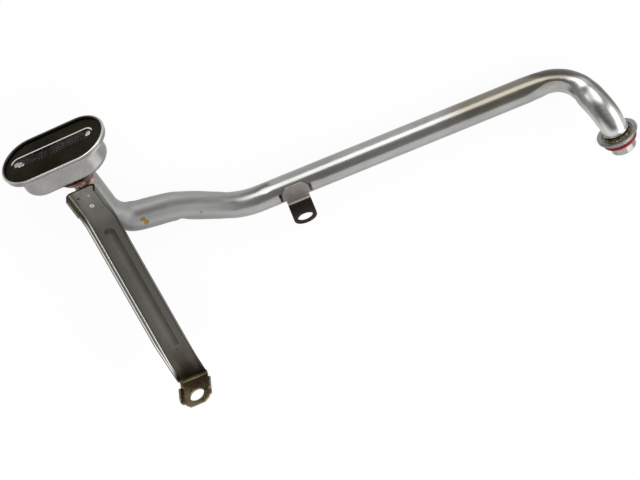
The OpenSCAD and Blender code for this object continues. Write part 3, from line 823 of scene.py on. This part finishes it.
def add_flange_braze():
    """Filler metal that fills the flange's dish and creeps up the tube."""
    bm = turned(FILLER_OUTLINE, 0.15, spigot_place(FLANGE_SEAT))
    for vert in bm.verts:
        out = vert.co - flange_middle
        if out.dot(-spigot_out) > FILLER_FROM * MM:
            vert.co -= FILLER_LUMP * MM * noise.noise(vert.co / (FILLER_GRAIN * MM)) * spigot_out
    add_piece("flange_filler", bm, brown_braze_finish(), "braze", "flange_braze")


def add_neck_braze():
    """Lumpy collar of filler metal under the cup, run down towards the strap and out to one side."""
    bm = turned(COLLAR_OUTLINE, 0.2, Matrix.Identity(4))
    for vert in bm.verts:
        out = Vector((vert.co.x, vert.co.y, 0.0))
        way = out.normalized()
        clear = max(0.0, out.length / MM - COLLAR_SKIN)
        vert.co.z *= 0.6 + 0.4 * max(0.0, -way.y) ** 0.7
        vert.co.x -= COLLAR_RUN * MM * max(0.0, -way.x) * min(1.0, clear)
        swell = noise.noise(vert.co / (1.7 * MM)) + 0.5 * noise.noise(vert.co / (0.8 * MM))
        if clear > 0:
            vert.co += COLLAR_LUMP * MM * swell * way
        if vert.co.z < -0.3 * MM:
            vert.co.z += COLLAR_DRIP * MM * swell
    place = cup_place @ Matrix.Translation((MM * NECK_AT[0], MM * NECK_AT[1], 0))
    bmesh.ops.transform(bm, matrix=place, verts=bm.verts)
    add_piece("neck_braze_collar", bm, copper_finish(), "braze", "neck_braze")


def weave_wire(cloth, row, first, last, turn):
    """Adds one wire to the cloth: over and under the wires that cross it, from the first to the last."""
    wire = bmesh.new()
    across = Matrix.Rotation(math.pi / 2, 4, "Y")
    side = 1 if turn > 0 else -1
    height = side * (-1) ** (row + first) * MM * WIRE_WAVE
    start = Matrix.Translation((MM * WIRE_PITCH * first, MM * WIRE_PITCH * row, height))
    bmesh.ops.create_circle(wire, segments=WIRE_SIDES, radius=MM * WIRE_R, matrix=start @ across)
    edges = wire.edges[:]
    for half in range(2 * (last - first)):
        verts, edges = grow(wire, edges)
        sink = -height * (-1) ** (half // 2)
        bmesh.ops.translate(wire, vec=(MM * WIRE_PITCH / 2, 0.0, sink), verts=verts)
    bmesh.ops.holes_fill(wire, edges=[edge for edge in wire.edges if edge.is_boundary], sides=0)
    bmesh.ops.recalc_face_normals(wire, faces=wire.faces)
    bmesh.ops.rotate(wire, cent=(0, 0, 0), matrix=Matrix.Rotation(turn, 3, "Z"), verts=wire.verts)
    strand = bpy.data.meshes.new("strand")
    wire.to_mesh(strand)
    wire.free()
    cloth.from_mesh(strand)
    bpy.data.meshes.remove(strand)


def on_screen(row, column, turn):
    """Whether a crossing of the cloth lies inside the screen's oval."""
    spot = Matrix.Rotation(turn, 2) @ Vector((WIRE_PITCH * column, WIRE_PITCH * row))
    past = max(0.0, abs(spot.x) - RIM_HALF)
    return math.hypot(past, spot.y) < SCREEN_R


def add_screen():
    """Woven wire cloth behind the slot, its wires set on the diagonal."""
    cloth = bmesh.new()
    count = round(2 * SCREEN_R / WIRE_PITCH)
    for turn in (math.pi / 4, -math.pi / 4):
        for row in range(-count, count + 1):
            columns = [c for c in range(-count, count + 1) if on_screen(row, c, turn)]
            if len(columns) > 1:
                weave_wire(cloth, row, columns[0], columns[-1], turn)
    place = cup_place @ Matrix.Translation((0, 0, MM * SCREEN_MIDDLE))
    bmesh.ops.transform(cloth, matrix=place, verts=cloth.verts)
    add_piece("woven_screen", cloth, wire_finish(), "screen_wire", "mesh_screen")


def lump(bm, place, sizes):
    """Adds a rough lump of weld metal."""
    made = bmesh.ops.create_icosphere(bm, subdivisions=3, radius=1.0)["verts"]
    for vert in made:
        vert.co *= 1 + 0.16 * noise.noise(2.3 * vert.co + 40 * place.translation / MM)
    scale = Matrix.Diagonal((MM * sizes[0], MM * sizes[1], MM * sizes[2], 1))
    bmesh.ops.transform(bm, matrix=place @ scale, verts=made)


def add_screen_welds():
    """Two patches of weld metal that hold the screen at the ends of the slot."""
    bm = bmesh.new()
    height = MM * (SCREEN_MIDDLE + WIRE_R)
    for x, y, length, width in SCREEN_WELDS:
        place = cup_place @ Matrix.Translation((MM * x, MM * y, height))
        lump(bm, place, (length, width, SCREEN_WELD_T))
    add_piece("screen_welds", bm, weld_finish(), "screen_wire")


def add_tab_welds():
    """Ripples of burnt weld metal down both edges of the tab's leg, on the crown of the tube."""
    bm = bmesh.new()
    middle = Vector((0.0, ROUTE[2][0][1], ROUTE[2][0][2]))
    for x in TAB_WELD_LINES:
        for step in range(TAB_RIPPLES):
            turn = math.radians(-38 + 8 * step)
            out = Vector((0.0, math.sin(turn), math.cos(turn)))
            spot = MM * (middle + Vector((x, 0, 0)) + (TUBE_R - TAB_RIPPLE_SINK) * out)
            place = Matrix.Translation(spot) @ out.to_track_quat("Z", "X").to_matrix().to_4x4()
            lump(bm, place, TAB_RIPPLE_SIZE)
    add_piece("tab_welds", bm, burnt_finish(), "tab_steel")


FINISHES = {
    "o_ring": seal_finish, "pickup_cup": cup_finish, "slotted_cover": cover_finish,
    "strap_bracket": strap_finish, "tab_bracket": tab_finish,
}


def dress_nodes():
    """Gives the solids that stay in view their finishes."""
    for name, finish in FINISHES.items():
        mesh = nodes[name].data
        mesh.materials.clear()
        mesh.materials.append(finish())


def lay_floor():
    mesh = bpy.data.meshes.new("floor")
    bm = bmesh.new()
    bmesh.ops.create_circle(bm, cap_ends=True, segments=96, radius=FLOOR_RADIUS)
    lowest = min(cad_box[0].z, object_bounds()[0].z)
    bmesh.ops.translate(bm, verts=bm.verts, vec=(*FLOOR_MIDDLE, lowest - FLOOR_GAP))
    bm.to_mesh(mesh)
    bm.free()
    floor = bpy.data.objects.new("floor", mesh)
    bpy.context.scene.collection.objects.link(floor)
    mesh.materials.append(floor_finish())
    floor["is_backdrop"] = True


def soft_box(name, aim, bearing, elevation, distance, size, glow):
    """Area lamp that looks at a point from a bearing round it and a height over the horizon, in degrees."""
    lamp = bpy.data.lights.new(name, "AREA")
    lamp.shape = "RECTANGLE"
    lamp.size, lamp.size_y = size
    lamp.energy = glow * math.pi * size[0] * size[1]
    around, up = math.radians(bearing), math.radians(elevation)
    back = Vector((math.sin(around) * math.cos(up), math.cos(around) * math.cos(up), math.sin(up)))
    holder = bpy.data.objects.new(name, lamp)
    holder.location = aim + distance * back
    holder.rotation_euler = back.to_track_quat("Z", "Y").to_euler()
    bpy.context.scene.collection.objects.link(holder)


def light():
    middle = (cad_box[0] + cad_box[1]) / 2
    for name, lamp in LAMPS.items():
        soft_box(name, middle, *lamp)
    world = bpy.data.worlds.new("studio")
    world.use_nodes = True
    sky = world.node_tree.nodes["Background"].inputs
    sky["Color"].default_value = WORLD_GREY
    sky["Strength"].default_value = WORLD_STRENGTH
    bpy.context.scene.world = world


def set_camera():
    """Puts the camera where the photograph was taken from, with the flange on its pixel."""
    forward = Vector((0, -math.cos(VIEW_ELEVATION), -math.sin(VIEW_ELEVATION)))
    upright = Vector((0, math.sin(VIEW_ELEVATION), -math.cos(VIEW_ELEVATION)))
    right = math.cos(VIEW_ROLL) * Vector((1, 0, 0)) - math.sin(VIEW_ROLL) * upright
    up = math.sin(VIEW_ROLL) * Vector((1, 0, 0)) + math.cos(VIEW_ROLL) * upright
    pixel = VIEW_DISTANCE / FOCAL_PIXELS
    across = (FLANGE_PIXEL[0] - PICTURE_SIZE[0] / 2) * pixel
    down = (FLANGE_PIXEL[1] - PICTURE_SIZE[1] / 2) * pixel
    aim = flange_middle - across * right + down * up
    lens = bpy.data.cameras.new("camera")
    lens.sensor_width = SENSOR_WIDTH
    lens.lens = FOCAL_PIXELS / PICTURE_SIZE[0] * SENSOR_WIDTH
    lens.clip_end = FAR_CLIP
    camera = bpy.data.objects.new("camera", lens)
    turn = Matrix((right, up, -forward)).transposed().to_4x4()
    camera.matrix_world = Matrix.Translation(aim - VIEW_DISTANCE * forward) @ turn
    bpy.context.scene.collection.objects.link(camera)
    bpy.context.scene.camera = camera


def write_sizes():
    boxes = {"cad": cad_box, "visual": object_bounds()}
    plain = {name: [list(corner) for corner in box] for name, box in boxes.items()}


dress_nodes()
add_tube()
add_flange()
add_flange_braze()
add_neck_braze()
add_screen()
add_screen_welds()
add_tab_welds()
lay_floor()
light()
set_camera()
bpy.context.scene.view_settings.view_transform = "Standard"
write_sizes()
